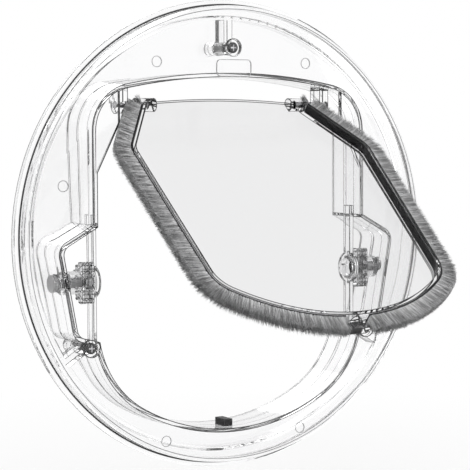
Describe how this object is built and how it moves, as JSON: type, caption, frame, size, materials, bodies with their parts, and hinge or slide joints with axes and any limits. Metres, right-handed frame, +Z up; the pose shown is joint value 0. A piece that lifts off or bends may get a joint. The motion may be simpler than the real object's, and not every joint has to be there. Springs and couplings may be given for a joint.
{
  "type": "patio pet door",
  "caption": "Round clear pet door that clamps into a glass panel, with a swinging flap edged in pile and turn-knob side locks.",
  "frame": {"origin": "on the axis of the clamp rings, in the plane where the rings meet the glass", "axes": "+X to the right, +Y from the front ring to the rear ring, +Z up"},
  "size_m": [0.24, 0.1418, 0.24],
  "materials": {
    "clear_plastic": "clear gloss",
    "flap_plastic": "clear, faintly grey gloss",
    "black_screw": "black",
    "magnet": "black ferrite",
    "pin_steel": "bright",
    "pile": "dark grey pile",
    "grey_plastic": "mid grey"
  },
  "bodies": {
    "frame": {"front_frame": "clear_plastic", "rear_frame": "clear_plastic", "top_clamp_screw": "black_screw", "left_clamp_screw": "black_screw", "right_clamp_screw": "black_screw", "floor_magnet": "magnet", "left_pivot_bearing": "clear_plastic", "right_pivot_bearing": "clear_plastic"},
    "flap": {"flap_panel": "flap_plastic", "flap_magnet": "magnet", "left_hinge_pin": "pin_steel", "right_hinge_pin": "pin_steel", "left_seal_backing": "pile", "right_seal_backing": "pile", "left_seal_pile": "pile", "right_seal_pile": "pile"},
    "left_knob": {"left_lock_knob": "grey_plastic"},
    "right_knob": {"right_lock_knob": "grey_plastic"},
    "left_bolt": {"left_bolt_nose": "clear_plastic", "left_bolt_shaft": "grey_plastic"},
    "right_bolt": {"right_bolt_nose": "clear_plastic", "right_bolt_shaft": "grey_plastic"}
  },
  "joints": [
    {"name": "flap_swing", "type": "hinge", "parent": "frame", "child": "flap", "pos_m": [0, 0.0053, 0.0665], "axis": [1, 0, 0], "range_deg": [-28, 128]},
    {"name": "left_knob_turn", "type": "hinge", "parent": "frame", "child": "left_knob", "pos_m": [-0.0817, 0.0032, -0.021], "axis": [1, 0, 0], "range_deg": [0, 180]},
    {"name": "left_bolt_slide", "type": "slide", "parent": "frame", "child": "left_bolt", "axis": [1, 0, 0], "range_m": [0, 0.0043]},
    {"name": "right_knob_turn", "type": "hinge", "parent": "frame", "child": "right_knob", "pos_m": [0.0817, 0.0032, -0.021], "axis": [1, 0, 0], "range_deg": [0, 180]},
    {"name": "right_bolt_slide", "type": "slide", "parent": "frame", "child": "right_bolt", "axis": [1, 0, 0], "range_m": [0, 0.0043]}
  ],
  "couplings": [
    {"joint": "left_bolt_slide", "follows": "left_knob_turn", "m_per_rad": 0.001368},
    {"joint": "right_bolt_slide", "follows": "right_knob_turn", "m_per_rad": 0.001368}
  ]
}
